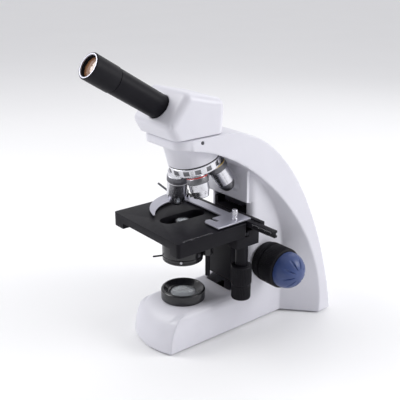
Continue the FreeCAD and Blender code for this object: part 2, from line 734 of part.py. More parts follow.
boss = cylinder("condenser_boss", 6.7, holder_top - holder_bottom, (post_at, post_at, holder_bottom))
node("condenser_holder", cut(
    "condenser_holder_part", join("condenser_holder_solid", holder_ring, boss),
    cylinder("condenser_holder_bore", 20.1, 40, (0, 0, 100)),
    cylinder("condenser_post_bore", 3.1, 40, (post_at, post_at, 100))))
iris_ring = turned("iris_ring", [
    (12.0, D.condenser_bottom), (23.4, D.condenser_bottom), (24.6, D.condenser_bottom + 1.0),
    (24.6, iris_top), (12.0, iris_top)])
iris_heading = Rotation(Vector(0, 0, 1), Vector(-0.39, -0.92, 0.0))
iris_rod = cylinder("iris_rod", 1.1, 15.0, (-17.5, -14.0, D.condenser_bottom + 1.6), iris_heading)
node("iris_lever", join("iris_lever_part", iris_ring, iris_rod))

# ---------------------------------------------------------------- mechanical stage
plate_bottom = D.stage_top - D.stage_thickness
skirt_bottom = plate_bottom - D.skirt_depth
right_skirt = 49.2
hole_y = 0.5
straight = D.hole_half_length - D.hole_radius
doc.recompute()
plate_blank = box("stage_plate_blank", (-D.stage_half, -D.stage_front, plate_bottom),
                  (D.stage_half, D.stage_back, D.stage_top))
left_skirt_blank = box("left_skirt", (-D.stage_half, -D.stage_front, skirt_bottom),
                       (-D.stage_half + D.skirt_width, D.stage_back, plate_bottom))
right_skirt_blank = box("right_skirt", (right_skirt, -D.stage_front, skirt_bottom),
                        (D.stage_half, D.stage_back, plate_bottom))
stage_blank = join("stage_blank", plate_blank, left_skirt_blank, right_skirt_blank)
stage_blank.Refine = True
doc.recompute()
corner_edges = []
for number, edge in enumerate(stage_blank.Shape.Edges, start=1):
    upright = abs(edge.tangentAt(edge.FirstParameter).z) > 0.99
    at_side = abs(abs(edge.CenterOfMass.x) - D.stage_half.value) < 0.01
    if upright and at_side:
        corner_edges.append((number, 4.0, 4.0))
stage_rounded = doc.addObject("Part::Fillet", "stage_rounded")
stage_rounded.Base = stage_blank
stage_rounded.Edges = corner_edges
node("stage_plate", cut(
    "stage_plate_part", stage_rounded,
    box("light_slot", (-D.hole_radius, hole_y - straight, 130), (D.hole_radius, hole_y + straight, 160)),
    cylinder("light_slot_front", D.hole_radius, 30, (0, hole_y - straight, 130)),
    cylinder("light_slot_back", D.hole_radius, 30, (0, hole_y + straight, 130)),
    cylinder("x_pinion_pocket", 5.3, 20, (coax_x, coax_y, 133.2)),
    cylinder("y_pinion_room", 9.3, 7.2, (coax_x, coax_y, 137.0))))

housing_back = 64.0
housing_step = 138.7
stem_bottom = D.coax_top + 0.4
node("gear_housing", cut(
    "gear_housing_part",
    join("gear_housing_block",
         cylinder("coax_stem", D.stem_radius, 127 - stem_bottom, (coax_x, coax_y, stem_bottom)),
         box("housing_foot", (right_skirt, 30, 126), (D.stage_half, housing_back, housing_step)),
         box("housing_rear", (right_skirt, D.stage_back, housing_step),
             (D.stage_half, housing_back, plate_bottom))),
    cylinder("y_pinion_pocket", 9.3, 5.7, (coax_x, coax_y, 138.5)),
    cylinder("coax_bore", 4.6, 42, (coax_x, coax_y, 98)),
    cylinder("x_shaft_bore", 2.4, 30, (coax_x, coax_y, 125))))

coax_at = (coax_x, coax_y, 0)
node("y_knob", turned("y_knob_part", [
    (4.3, D.coax_split + 0.3), (D.coax_upper_radius - 0.6, D.coax_split + 0.3),
    (D.coax_upper_radius, D.coax_split + 1), (D.coax_upper_radius, D.coax_top - 0.8),
    (D.coax_upper_radius - 0.8, D.coax_top), (4.3, D.coax_top)], coax_at))
y_shaft = rod(4.3, y_gear_bottom + 0.5 - 77, (0, 0, 77), (0, 0, 1))
y_pinion = gear(y_radius, GEAR_TEETH, 4.0, 3.0)
y_pinion.rotate(Vector(0, 0, 0), Vector(0, 0, 1), 180)
y_pinion.translate(Vector(0, 0, y_gear_bottom))
y_shaft = y_shaft.fuse(y_pinion).cut(rod(2.25, 100, (0, 0, 70), (0, 0, 1)))
y_shaft.translate(Vector(coax_x.value, coax_y.value, 0))
node("y_drive_shaft", shaped("y_drive_shaft_part", y_shaft))
node("x_knob", turned("x_knob_part", [
    (0, D.coax_bottom), (D.coax_lower_radius - 0.8, D.coax_bottom),
    (D.coax_lower_radius, D.coax_bottom + 0.8), (D.coax_lower_radius, D.coax_split - 0.7),
    (D.coax_lower_radius - 0.7, D.coax_split), (2.1, D.coax_split), (2.1, D.coax_bottom + 4),
    (0, D.coax_bottom + 4)], coax_at))
x_radius = 4.0
x_gear_bottom = 149.0
x_shaft = rod(2.1, x_gear_bottom + 3.4 - D.coax_bottom.value - 4, (0, 0, D.coax_bottom.value + 4), (0, 0, 1))
x_pinion = gear(x_radius, SMALL_TEETH, 3.4, 1.5)
x_pinion.rotate(Vector(0, 0, 0), Vector(0, 0, 1), 90)
x_pinion.translate(Vector(0, 0, x_gear_bottom))
x_shaft = x_shaft.fuse(x_pinion)
x_shaft.translate(Vector(coax_x.value, coax_y.value, 0))
node("x_drive_shaft", shaped("x_drive_shaft_part", x_shaft))

# ---------------------------------------------------------------- cross slide and slide holder
guide_front = D.bar_back + 0.3
node("x_guide", join(
    "x_guide_part",
    box("x_guide_block", (30, guide_front, plate_bottom), (77, 61, 158)),
    box("x_guide_tongue", (30, guide_front - 1.7, 151.5), (77, guide_front + 1, 154))))
rack_line = coax_y.value + x_radius
x_rack = rack(x_radius, SMALL_TEETH, 16, 19, 1.2, 153.0 - D.bar_bottom.value)
x_rack = x_rack.mirror(Vector(0, 0, 0), Vector(0, 1, 0))
x_rack.translate(Vector(coax_x.value, rack_line, D.bar_bottom.value))
bar_back = D.bar_back.value
bar_left, bar_right = -D.bar_left.value, D.bar_right.value
bar_shape = block((bar_left, D.bar_front.value, 153), (bar_right, bar_back, D.bar_top.value))
lower_bar = block((bar_left, rack_line + 0.733, D.bar_bottom.value), (bar_right, bar_back, 153))
groove = block((bar_left, bar_back - 1.7, 151.2), (bar_right, bar_back, 154.3))
bar_shape = bar_shape.fuse([lower_bar, x_rack]).cut(groove)
node("x_bar", shaped("x_bar_part", bar_shape))

holder_low = D.bar_top.value
holder_high = holder_low + D.holder_thickness.value


def plate_outline(corners, low, high):
    """A flat plate from (x, y) corners."""
    points = [Vector(x, y, low) for x, y in corners]
    return Part.Face(Part.makePolygon(points + points[:1])).extrude(Vector(0, 0, high - low))


HOLDER = [(-38.5, 33.3), (33.0, 33.3), (33.0, 19.0), (43.0, 20.5), (45.0, 18.5), (44.0, 15.5),
          (34.5, 14.0), (33.0, 9.0), (37.0, 4.5), (61.0, 4.5), (61.0, 54.2), (33.0, 54.2),
          (33.0, 46.0), (-38.5, 46.0)]
LUG = [(-52.0, 34.0), (-36.0, 34.0), (-36.0, 46.0), (-52.0, 46.0)]
pivot_x, pivot_y = -45.0, 40.0
holder = plate_outline(HOLDER, holder_low, holder_high)
lug = plate_outline(LUG, holder_low - 1.2, holder_low)
jaw = block((33.0, 21.5, holder_low - 1.4), (36.0, 33.3, holder_low))
holder = holder.fuse([lug, jaw]).cut(rod(2.0, 5, (pivot_x, pivot_y, holder_low - 2), (0, 0, 1)))
node("slide_holder", shaped("slide_holder_part", holder.removeSplitter()))
node("holder_screw", turned("holder_screw_part", [
    (0, holder_high), (3.4, holder_high), (3.4, holder_high + 1.2), (2.9, holder_high + 1.6),
    (2.9, holder_high + 5.2), (3.25, holder_high + 5.6), (3.25, holder_high + 11.6),
    (2.6, holder_high + 12.3), (0, holder_high + 12.5)], (52.5, 36.5, 0)))
node("finger_pivot", turned("finger_pivot_part", [
    (0, holder_low - 1.2), (2.0, holder_low - 1.2), (2.0, holder_low + 2.0), (3.4, holder_low + 2.0),
    (3.4, holder_low + 10.5), (2.8, holder_low + 11.0), (0, holder_low + 11.0)], (pivot_x, pivot_y, 0)))

finger_low = holder_low + 0.2
finger_high = finger_low + 1.6


def arc(start, middle, end):
    return Part.Arc(*[Vector(x, y, finger_low) for x, y in (start, middle, end)]).toShape()


finger_edges = [
    arc((-18.5, -29.0), (-52.0, -9.0), (-69.0, 28.0)),
    arc((-69.0, 28.0), (-66.0, 37.0), (-57.0, 41.0)),
    arc((-57.0, 41.0), (-45.0, 45.8), (-39.2, 40.0)),
    arc((-39.2, 40.0), (-41.0, 36.0), (-43.3, 32.0)),
    Part.LineSegment(Vector(-43.3, 32.0, finger_low), Vector(-43.3, 10.0, finger_low)).toShape(),
    arc((-43.3, 10.0), (-35.0, -10.5), (-17.0, -27.5)),
    Part.LineSegment(Vector(-17.0, -27.5, finger_low), Vector(-18.5, -29.0, finger_low)).toShape(),
]
finger = Part.Face(Part.Wire(Part.__sortEdges__(finger_edges)))
finger = finger.extrude(Vector(0, 0, finger_high - finger_low))
finger = finger.cut(rod(2.2, 5, (pivot_x, pivot_y, finger_low - 1), (0, 0, 1)))
node("spring_finger", shaped("spring_finger_part", finger))
lever_heading = Rotation(Vector(0, 0, 1), Vector(-1.0, 0.1, 0.12))
node("finger_lever", cylinder("finger_lever_part", 1.4, 34.0,
                              (-62.0, 30.0, finger_high + 1.42), lever_heading))

# ---------------------------------------------------------------- nosepiece
apex = Vector(0, 0, D.nose_apex.value)
tilt = math.radians(D.nose_tilt.value)
nose_axis = Vector(0, math.sin(tilt), -math.cos(tilt))


def on_nose(name, profile):
    """A piece turned about the nosepiece's own axis, measured from its apex."""
    return turned(name, profile, (0, 0, D.nose_apex), NOSE_AXIS)


REST_TURN = math.radians(-38.0)
side_axis = Vector(1, 0, 0)
front_axis = Vector(0, -math.cos(tilt), -math.sin(tilt))


def objective_axis(index):
    """The direction of one of the four objectives; the third power is nearest the light path."""
    around = REST_TURN + index * math.pi / 2
    outward = front_axis * math.cos(around) + side_axis * math.sin(around)
    return nose_axis * math.cos(tilt) + outward * math.sin(tilt)


seat = D.seat_distance
seat_radius = seat.value * math.sin(tilt)
rim = D.turret_end - 1.2
node("nosepiece_axle", on_nose("nosepiece_axle_part", [
    (0, 52), (4.0, 52), (4.0, 84.4), (6.5, 84.4), (6.5, 85.6), (5.0, 86.4), (0, 86.4)]))
turret_blank = on_nose("turret_blank", [
    (4.1, D.turret_start), (D.turret_radius, D.turret_start), (D.turret_radius, rim),
    (seat_radius, D.turret_end + 1.4), (9.2, D.turret_end + 4.6), (7.6, 84.2), (4.1, 84.2)])
bores = []
for index in range(4):
    heading = Rotation(Vector(0, 0, 1), objective_axis(index))
    start = apex + objective_axis(index) * 60.0
    bores.append(cylinder(f"turret_bore_{index}", 7.0, 30, tuple(start), heading))
    start = apex + objective_axis(index) * (seat.value - 4.5)
    bores.append(cylinder(f"turret_thread_{index}", 10.1, 12, tuple(start), heading))
node("turret", cut("turret_part", turret_blank, *bores))

# radius and distance from the seat; the thread goes up inside the turret
POWERS = {
    "objective_100x": [(12.0, 0.2), (12.0, 5.4), (13.0, 5.8), (13.0, 12.2), (12.6, 12.6), (12.3, 30.0),
                       (10.9, 38.6), (9.8, 39.4), (6.4, 43.6), (3.6, 44.6)],
    "objective_4x": [(12.2, 0.2), (12.2, 2.0), (12.6, 2.3), (12.6, 8.6), (11.8, 9.0), (11.4, 17.5),
                     (9.6, 22.5), (9.0, 25.6), (7.4, 26.4)],
    "objective_10x": [(12.2, 0.2), (12.2, 2.0), (12.6, 2.3), (12.6, 8.6), (11.6, 9.0), (11.3, 28.0),
                      (9.4, 33.0), (6.8, 37.8), (5.6, 38.8)],
    "objective_40x": [(12.2, 0.2), (12.2, 2.0), (12.6, 2.3), (12.6, 8.6), (12.0, 9.0), (11.8, 29.0),
                      (9.0, 35.0), (7.0, 42.4), (4.0, 43.6)],
}
LENS_RADIUS = {"objective_100x": 1.6, "objective_4x": 6.0, "objective_10x": 3.8, "objective_40x": 2.2}
lenses = []
for index, (name, outline) in enumerate(POWERS.items()):
    heading = Rotation(Vector(0, 0, 1), objective_axis(index))
    lens_radius = LENS_RADIUS[name]
    tip = outline[-1][1]
    profile = [(6.8, seat - 4.2), (10.05, seat - 4.2), (10.05, seat + 0.2)]
    profile += [(radius, seat + reach) for radius, reach in outline]
    profile += [(lens_radius, seat + tip), (lens_radius, seat + tip - 2.5), (6.8, seat + 12)]
    node(name, turned(name + "_part", profile, (0, 0, D.nose_apex), heading))
    lenses.append(turned(name + "_lens", [
        (0, seat + tip - 2.3), (lens_radius, seat + tip - 2.3), (lens_radius, seat + tip - 0.6),
        (0, seat + tip - 0.3)], (0, 0, D.nose_apex), heading))
node("objective_lenses", group("objective_lenses_group", *lenses))

# ---------------------------------------------------------------- head, tube and eyepiece
head_half = D.head_half.value
head_bottom = D.head_bottom.value
HEAD = [(-35.0, head_bottom), (-44.5, 276.0), (-17.0, 311.0),
        (33.0, 298.5), (35.5, 287.0), (33.0, head_bottom)]
outline = [Vector(0, y, z) for y, z in HEAD]
head = Part.Face(Part.makePolygon(outline + outline[:1]))
head.translate(Vector(-head_half, 0, 0))
head = head.extrude(Vector(2 * head_half, 0, 0))
HEAD_ROUNDING = {(-17.0, 311.0): 7.0, (33.0, 298.5): 9.0, (-44.5, 276.0): 7.0}
for (y, z), radius in HEAD_ROUNDING.items():
    edges = [e for e in head.Edges if abs(e.CenterOfMass.y - y) < 0.01 and abs(e.CenterOfMass.z - z) < 0.01]
    head = head.makeFillet(radius, edges)
sides = [e for e in head.Edges if abs(abs(e.CenterOfMass.x) - head_half) < 0.01
         and e.CenterOfMass.z > head_bottom + 0.5]
head = head.makeFillet(9.0, sides)
tube_tilt = math.radians(D.tube_tilt.value)
tube_direction = Vector(0, -math.cos(tube_tilt), math.sin(tube_tilt))
tube_origin = Vector(0, 0, D.tube_cross.value)
head_openings = [
    rod(D.tube_radius.value + 0.02, 60.0, tuple(tube_origin + tube_direction * 25.0), tuple(tube_direction)),
    block((-17, -18, head_bottom + 3), (17, 20, 295)),
    rod(10.0, 8.0, (0, 0, head_bottom - 2), (0, 0, 1)),
]
head = head.cut(head_openings)
node("head_shell", shaped("head_shell_part", head))
node("head_flange", turned("head_flange_part", [
    (10.0, head_bottom - 6.0), (25.7, head_bottom - 6.0), (24.2, head_bottom - 3.0),
    (25.0, head_bottom), (10.0, head_bottom)]))
node("prism", box("prism_part", (-14, -15, 265), (14, 15, 293)))


def on_tube(name, profile):
    """A piece turned about the viewing tube's axis, measured from where it meets the light path."""
    return turned(name, profile, (0, 0, D.tube_cross), TUBE_AXIS)


barrel = D.barrel_radius
node("viewing_tube", on_tube("viewing_tube_part", [
    (barrel + 0.15, D.tube_start), (D.tube_radius, D.tube_start), (D.tube_radius, D.tube_end - 0.5),
    (D.tube_radius - 0.5, D.tube_end), (barrel + 0.15, D.tube_end)]))
eye_end = D.eyepiece_end
node("eyepiece_body", on_tube("eyepiece_body_part", [
    (9.6, D.tube_end - 24), (barrel, D.tube_end - 24), (barrel, D.tube_end + 0.3),
    (D.eyepiece_radius - 0.5, D.tube_end + 0.3), (D.eyepiece_radius, D.tube_end + 0.9),
    (D.eyepiece_radius, eye_end - 0.6), (D.eyepiece_radius - 0.5, eye_end), (14.0, eye_end),
    (14.0, eye_end - 1.5), (12.0, eye_end - 2.5), (12.0, eye_end - 6.5), (9.6, eye_end - 6.5)]))
node("eyepiece_ring", on_tube("eyepiece_ring_part", [
    (12.2, eye_end - 1.4), (13.95, eye_end - 1.4), (13.95, eye_end), (12.6, eye_end), (12.2, eye_end - 0.4)]))
eye_lens = on_tube("eye_lens", [
    (0, eye_end - 6.4), (11.2, eye_end - 6.4), (11.2, eye_end - 4.6), (7.5, eye_end - 3.9),
    (3.5, eye_end - 3.5), (0, eye_end - 3.4)])
field_lens = on_tube("field_lens", [
    (0, D.tube_end - 23.5), (9.5, D.tube_end - 23.5), (9.5, D.tube_end - 21.5), (0, D.tube_end - 20.4)])
node("eyepiece_lenses", group("eyepiece_lenses_group", eye_lens, field_lens))

# ---------------------------------------------------------------- check and write every node
doc.recompute()
os.makedirs("parts", exist_ok=True)
problems = []
for thing in doc.Objects:
    if any(word in thing.State for word in ("Invalid", "Error")):
        problems.append(f"{thing.Name}: {thing.State}")
for name, thing in NODES.items():
    shape = thing.Shape
    if shape.isNull() or not shape.isValid() or not shape.Solids:
        problems.append(f"{name}: the shape is not a valid solid")
if problems:
    raise RuntimeError("; ".join(problems))
for name, thing in NODES.items():
    solids = thing.Shape.Solids
    print(f"{name}: {len(solids)} solid, {thing.Shape.Volume / 1000:.2f} cm3")
    thing.Shape.exportStep(f"parts/{name}.step")
print(f"{len(NODES)} nodes")
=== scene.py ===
"""The look of a monocular microscope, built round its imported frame. Lengths are in metres."""
import json
import math

import bmesh
import bpy
import numpy as np
from mathutils import Matrix, Vector


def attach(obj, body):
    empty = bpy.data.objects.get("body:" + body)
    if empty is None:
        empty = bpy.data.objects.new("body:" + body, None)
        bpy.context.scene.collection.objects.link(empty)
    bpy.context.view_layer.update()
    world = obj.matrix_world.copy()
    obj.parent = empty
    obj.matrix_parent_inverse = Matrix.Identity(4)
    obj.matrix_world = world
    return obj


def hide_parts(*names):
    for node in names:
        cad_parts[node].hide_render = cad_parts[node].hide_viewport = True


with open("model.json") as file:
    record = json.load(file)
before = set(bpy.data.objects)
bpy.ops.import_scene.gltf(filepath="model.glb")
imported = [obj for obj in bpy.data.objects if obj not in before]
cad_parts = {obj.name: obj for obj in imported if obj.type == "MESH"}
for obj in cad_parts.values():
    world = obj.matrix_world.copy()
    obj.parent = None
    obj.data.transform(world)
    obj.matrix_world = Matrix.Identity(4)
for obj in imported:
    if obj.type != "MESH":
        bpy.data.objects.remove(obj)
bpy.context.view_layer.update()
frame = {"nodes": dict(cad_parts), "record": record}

MM = 0.001
SLOT_OF = {row["node"]: row["material_slot"] for row in frame["record"]["subparts"]}
BODY_OF = {node: body for body, nodes in frame["record"]["behaviour"]["bodies"].items() for node in nodes}


# ---------------------------------------------------------------- materials
def material(name, dark, light, rough, metallic=0.0, patch=45.0, grain=1800.0, relief=0.02, **sockets):
    """A procedural finish: two close tones in patches, uneven roughness, and a fine relief."""
    made = bpy.data.materials.new(name)
    made.use_nodes = True
    nodes, links = made.node_tree.nodes, made.node_tree.links
    shader = nodes["Principled BSDF"]
    place = nodes.new("ShaderNodeTexCoord").outputs["Object"]

    def noise(scale, detail):
        texture = nodes.new("ShaderNodeTexNoise")
        texture.inputs["Scale"].default_value = scale
        texture.inputs["Detail"].default_value = detail
        links.new(place, texture.inputs["Vector"])
        return texture.outputs["Fac"]

    tones = nodes.new("ShaderNodeMix")
    tones.data_type = "RGBA"
    tones.inputs["A"].default_value = (*dark, 1)
    tones.inputs["B"].default_value = (*light, 1)
    links.new(noise(patch, 3.0), tones.inputs["Factor"])
    links.new(tones.outputs["Result"], shader.inputs["Base Color"])
    spread = nodes.new("ShaderNodeMapRange")
    spread.inputs["To Min"].default_value = rough[0]
    spread.inputs["To Max"].default_value = rough[1]
    links.new(noise(patch * 3, 4.0), spread.inputs["Value"])
    links.new(spread.outputs["Result"], shader.inputs["Roughness"])
    bump = nodes.new("ShaderNodeBump")
    bump.inputs["Distance"].default_value = relief * MM
    links.new(noise(grain, 2.0), bump.inputs["Height"])
    links.new(bump.outputs["Normal"], shader.inputs["Normal"])
    shader.inputs["Metallic"].default_value = metallic
    for socket, value in sockets.items():
        shader.inputs[socket.replace("_", " ")].default_value = value
    return made


ENAMEL = material("white_enamel", (0.70, 0.695, 0.755), (0.745, 0.74, 0.80), (0.30, 0.42),
                  grain=900, relief=0.012)
BLACK_METAL = material("satin_black", (0.007, 0.0065, 0.009), (0.012, 0.0115, 0.015), (0.36, 0.48),
                       grain=2600, Specular_IOR_Level=0.10)
BLACK_PLASTIC = material("moulded_black", (0.008, 0.0075, 0.010), (0.014, 0.0135, 0.017), (0.42, 0.55),
                         grain=3000, Specular_IOR_Level=0.12)
GLOSS_BLACK = material("gloss_black", (0.008, 0.008, 0.011), (0.013, 0.013, 0.016), (0.16, 0.26),
                       relief=0.005)
BLUE = material("moulded_blue", (0.030, 0.056, 0.175), (0.040, 0.070, 0.21), (0.34, 0.46), grain=2600)
CHROME = material("bright_chrome", (0.62, 0.62, 0.66), (0.74, 0.74, 0.78), (0.20, 0.32), 1.0, relief=0.006)
SILVER = material("anodised_silver", (0.50, 0.50, 0.57), (0.57, 0.57, 0.64), (0.30, 0.42), 0.75, grain=2600)
STEEL = material("turned_steel", (0.40, 0.40, 0.43), (0.52, 0.52, 0.55), (0.20, 0.34), 1.0, grain=2400)
DARK_STEEL = material("burnished_steel", (0.06, 0.06, 0.07), (0.10, 0.10, 0.11), (0.24, 0.36), 1.0,
                      grain=2400)
BRASS = material("machined_brass", (0.58, 0.42, 0.16), (0.72, 0.54, 0.24), (0.22, 0.36), 1.0, grain=2400)
RUBBER = material("moulded_rubber", (0.012, 0.012, 0.013), (0.024, 0.024, 0.025), (0.62, 0.80),
                  grain=2200, relief=0.04)
LAMP = material("lamp_plastic", (0.78, 0.72, 0.42), (0.88, 0.82, 0.56), (0.30, 0.44))
BOARD = material("board_laminate", (0.03, 0.17, 0.08), (0.06, 0.26, 0.13), (0.34, 0.48), patch=160)
SHEET_GREY = material("painted_sheet", (0.08, 0.08, 0.09), (0.12, 0.12, 0.13), (0.42, 0.56), grain=1600)
GLASS = material("optical_glass", (0.80, 0.84, 0.88), (0.88, 0.92, 0.96), (0.02, 0.05), relief=0.001,
                 Transmission_Weight=0.75, IOR=1.52)
EYE_GLASS = material("coated_glass", (0.34, 0.16, 0.08), (0.46, 0.24, 0.13), (0.03, 0.07), relief=0.001,
                     Transmission_Weight=0.35, IOR=1.6, Coat_Weight=0.6)
FINISH = {
    "stand_white": ENAMEL, "black_metal": BLACK_METAL, "black_plastic": BLACK_PLASTIC,
    "gloss_black": GLOSS_BLACK, "blue_plastic": BLUE, "chrome": CHROME, "holder_silver": SILVER,
    "steel": STEEL, "dark_steel": DARK_STEEL, "brass": BRASS, "optical_glass": GLASS,
    "eye_glass": EYE_GLASS, "rubber": RUBBER, "lamp_yellow": LAMP, "board_green": BOARD,
    "base_grey": SHEET_GREY,
}
KNURL = material("dark_knurl", (0.15, 0.15, 0.16), (0.23, 0.23, 0.25), (0.30, 0.42), 1.0, grain=2600)
BAND_RED = material("band_red", (0.42, 0.020, 0.016), (0.52, 0.034, 0.026), (0.30, 0.42))
BAND_GOLD = material("band_gold", (0.52, 0.36, 0.09), (0.64, 0.46, 0.15), (0.26, 0.38), 0.6)
BAND_BLUE = material("band_blue", (0.03, 0.12, 0.40), (0.05, 0.17, 0.52), (0.30, 0.42))
BAND_WHITE = material("band_white", (0.70, 0.70, 0.72), (0.80, 0.80, 0.82), (0.30, 0.42))
PRINT = material("white_print", (0.62, 0.62, 0.64), (0.74, 0.74, 0.76), (0.45, 0.60))
# A near-black finish used only as painted shade inside the turret's gap, not a colour of the microscope.
PAINTED_GAP_SHADE = material("painted_gap_shade", (0.004, 0.004, 0.005), (0.008, 0.008, 0.009), (0.50, 0.65))

for node, thing in frame["nodes"].items():
    for material_slot in thing.material_slots:
        material_slot.material = FINISH[SLOT_OF[node]]
    thing.data.set_sharp_from_angle(angle=math.radians(32))


# ---------------------------------------------------------------- making pieces
def add_piece(name, mesh, body, slot, *finishes, replaces=()):
    """Puts a mesh into the scene as a piece that rides on a body."""
    mesh.validate()
    for polygon in mesh.polygons:
        polygon.use_smooth = True
    mesh.set_sharp_from_angle(angle=math.radians(38))
    for finish in finishes or (FINISH[slot],):
        mesh.materials.append(finish)
    thing = bpy.data.objects.new(name, mesh)
    bpy.context.scene.collection.objects.link(thing)
    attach(thing, body)
    if replaces:
        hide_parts(*replaces)
    return thing


def piece_from(shape, name, body, slot, *finishes, replaces=()):
    """The same from a bmesh, with its normals made outward."""
    bmesh.ops.recalc_face_normals(shape, faces=shape.faces)
    mesh = bpy.data.meshes.new(name)
    shape.to_mesh(mesh)
    shape.free()
    return add_piece(name, mesh, body, slot, *finishes, replaces=replaces)


def along(origin, direction):
    """The matrix that takes +Z to a direction from an origin."""
    turn = Vector((0, 0, 1)).rotation_difference(Vector(direction).normalized())
    return Matrix.Translation(Vector(origin)) @ turn.to_matrix().to_4x4()


def softened(profile, radius=0.35, points=3):
    """A turned outline in mm with its corners rounded; corners on the axis stay."""
    rounded = []
    count = len(profile)
    for index, (r, h) in enumerate(profile):
        here = Vector((r, h))
        before, after = Vector(profile[index - 1]), Vector(profile[(index + 1) % count])
        if r < 1e-6 or (before - here).length < 1e-6 or (after - here).length < 1e-6:
            rounded.append((r, h))
            continue
        reach = min(radius, (before - here).length * 0.4, (after - here).length * 0.4)
        start = here + (before - here).normalized() * reach
        end = here + (after - here).normalized() * reach
        for step in range(points):
            part = step / (points - 1)
            point = start * (1 - part) ** 2 + here * 2 * part * (1 - part) + end * part ** 2
            rounded.append((point.x, point.y))
    return rounded


def turned(profile, origin, direction, steps=96, relief=None, paint=None):
    """A closed turned solid from (radius, height) rows in mm.

    relief changes a ring's radius by angle, and paint picks each face's material.
    """
    shape = bmesh.new()
    place = along(origin, direction)
    rings = []
    for radius, height in profile:
        if radius < 1e-6:
            rings.append([shape.verts.new(place @ Vector((0, 0, height * MM)))])
            continue
        ring = []
        for step in range(steps):
            angle = 2 * math.pi * step / steps
            reach = relief(angle, radius, height) if relief else radius
            ring.append(shape.verts.new(place @ Vector((
                reach * math.cos(angle) * MM, reach * math.sin(angle) * MM, height * MM))))
        rings.append(ring)
    for index, ring in enumerate(rings):
        other = rings[(index + 1) % len(rings)]
        if len(ring) == 1 and len(other) == 1:
            continue
        for step in range(steps):
            after = (step + 1) % steps
            if len(ring) == 1:
                corners = (ring[0], other[step], other[after])
            elif len(other) == 1:
                corners = (ring[step], other[0], ring[after])
            else:
                corners = (ring[step], other[step], other[after], ring[after])
            face = shape.faces.new(corners)
            if paint:
                face.material_index = paint(2 * math.pi * (step + 0.5) / steps, index)
    return shape


def ribs(count, depth, low, high, sharpness=1.0):
    """A relief of upright ribs between two heights."""
    def relief(angle, radius, height):
        if not low <= height <= high:
            return radius
        wave = 0.5 - 0.5 * math.cos(count * angle)
        return radius - depth * (1 - wave ** sharpness)
    return relief


def bevelled(node, width, segments=2, angle=28.0):
    """A CAD node's own shape with its edges bevelled, as a piece that stands for it."""
    shape = bmesh.new()
    shape.from_mesh(frame["nodes"][node].data)
    bmesh.ops.remove_doubles(shape, verts=shape.verts, dist=0.001 * MM)
    bmesh.ops.dissolve_limit(shape, angle_limit=math.radians(1.0), verts=shape.verts, edges=shape.edges)
    sharp = [edge for edge in shape.edges
             if len(edge.link_faces) == 2 and edge.calc_face_angle(0) > math.radians(angle)]
    bmesh.ops.bevel(shape, geom=sharp, offset=width * MM, segments=segments, profile=0.6,
                    affect="EDGES", clamp_overlap=True)
    return piece_from(shape, node + "_finished", BODY_OF[node], SLOT_OF[node], replaces=[node])


def box_shape(low, high, shape=None):
    """A plain block between two corners in mm, added to a bmesh."""
    shape = shape or bmesh.new()
    low, high = Vector(low) * MM, Vector(high) * MM
    size = high - low
    middle = Matrix.Translation((low + high) / 2)
    bmesh.ops.create_cube(shape, size=1.0, matrix=middle @ Matrix.Diagonal((*size, 1.0)))
    return shape


# ---------------------------------------------------------------- the painted stand
BASE_HALF, BASE_TOP, COLUMN_FRONT, FOOT_BLEND = 38.5, 49.0, 75.0, 20.0
BULGE_FRONT, BULGE_BOTTOM = 70.0, 166.0
BASE_CORNER, COLUMN_CORNER, BULGE_CORNER = 12.0, 8.0, 14.0


def round_cast_corners(points):
    """Rounds the long corners between the stand's sides and its top and front, on points in mm."""
    x, y, z = points.T
    centre_y, centre_z = COLUMN_FRONT - FOOT_BLEND, BASE_TOP + FOOT_BLEND
    on_base = y < centre_y
    on_column = ~on_base & (z > centre_z)
    blend_reach = np.hypot(y - centre_y, z - centre_z)
    front = np.where(z > BULGE_BOTTOM, BULGE_FRONT, COLUMN_FRONT)
    depth = np.where(on_base, BASE_TOP - z, np.where(on_column, y - front, blend_reach - FOOT_BLEND))
    in_y = np.where(on_base, 0.0, np.where(on_column, 1.0, (y - centre_y) / np.maximum(blend_reach, 1e-6)))
    in_z = np.where(on_base, -1.0, np.where(on_column, 0.0, (z - centre_z) / np.maximum(blend_reach, 1e-6)))
    radius = np.interp(z, [BASE_TOP, 80.0, BULGE_BOTTOM - 2, BULGE_BOTTOM + 2],
                       [BASE_CORNER, COLUMN_CORNER, COLUMN_CORNER, BULGE_CORNER])
    across = radius - (BASE_HALF - np.abs(x))
    inward = radius - depth
    corner = (across > 0) & (inward > 0) & (np.abs(x) < BASE_HALF + 0.3) & (depth > -0.5) & (z < 240)
    shrink = np.maximum(across, inward) / np.maximum(np.hypot(across, inward), 1e-6)
    move = np.where(corner, 1 - shrink, 0.0)
    x = x - np.sign(x) * across * move
    return np.stack([x, y + in_y * inward * move, z + in_z * inward * move], axis=1)


def mesh_points(mesh):
    """A mesh's points in mm, one row each."""
    points = np.empty(len(mesh.vertices) * 3)
    mesh.vertices.foreach_get("co", points)
    return points.reshape(-1, 3) / MM


def with_modifier(mesh, kind, **settings):
    """A new mesh: the old one with one modifier applied."""
    thing = bpy.data.objects.new("work", mesh)
    bpy.context.scene.collection.objects.link(thing)
    modifier = thing.modifiers.new(kind.lower(), kind)
    for setting, value in settings.items():
        setattr(modifier, setting, value)
    graph = bpy.context.evaluated_depsgraph_get()
    made = bpy.data.meshes.new_from_object(thing.evaluated_get(graph))
    bpy.data.objects.remove(thing)
    return made


def dense_skin(name, nodes, voxel, smoothing, reshape=None):
    """One evenly meshed skin over CAD nodes, reshaped by a function and then smoothed."""
    shape = bmesh.new()
    for node in nodes:
        shape.from_mesh(frame["nodes"][node].data)
    mesh = bpy.data.meshes.new(name)
    shape.to_mesh(mesh)
    shape.free()
    dense = with_modifier(mesh, "REMESH", mode="VOXEL", voxel_size=voxel * MM)
    if reshape:
        dense.vertices.foreach_set("co", (reshape(mesh_points(dense)) * MM).ravel())
    final = with_modifier(dense, "SMOOTH", factor=0.5, iterations=smoothing)
    final.materials.clear()
    return final


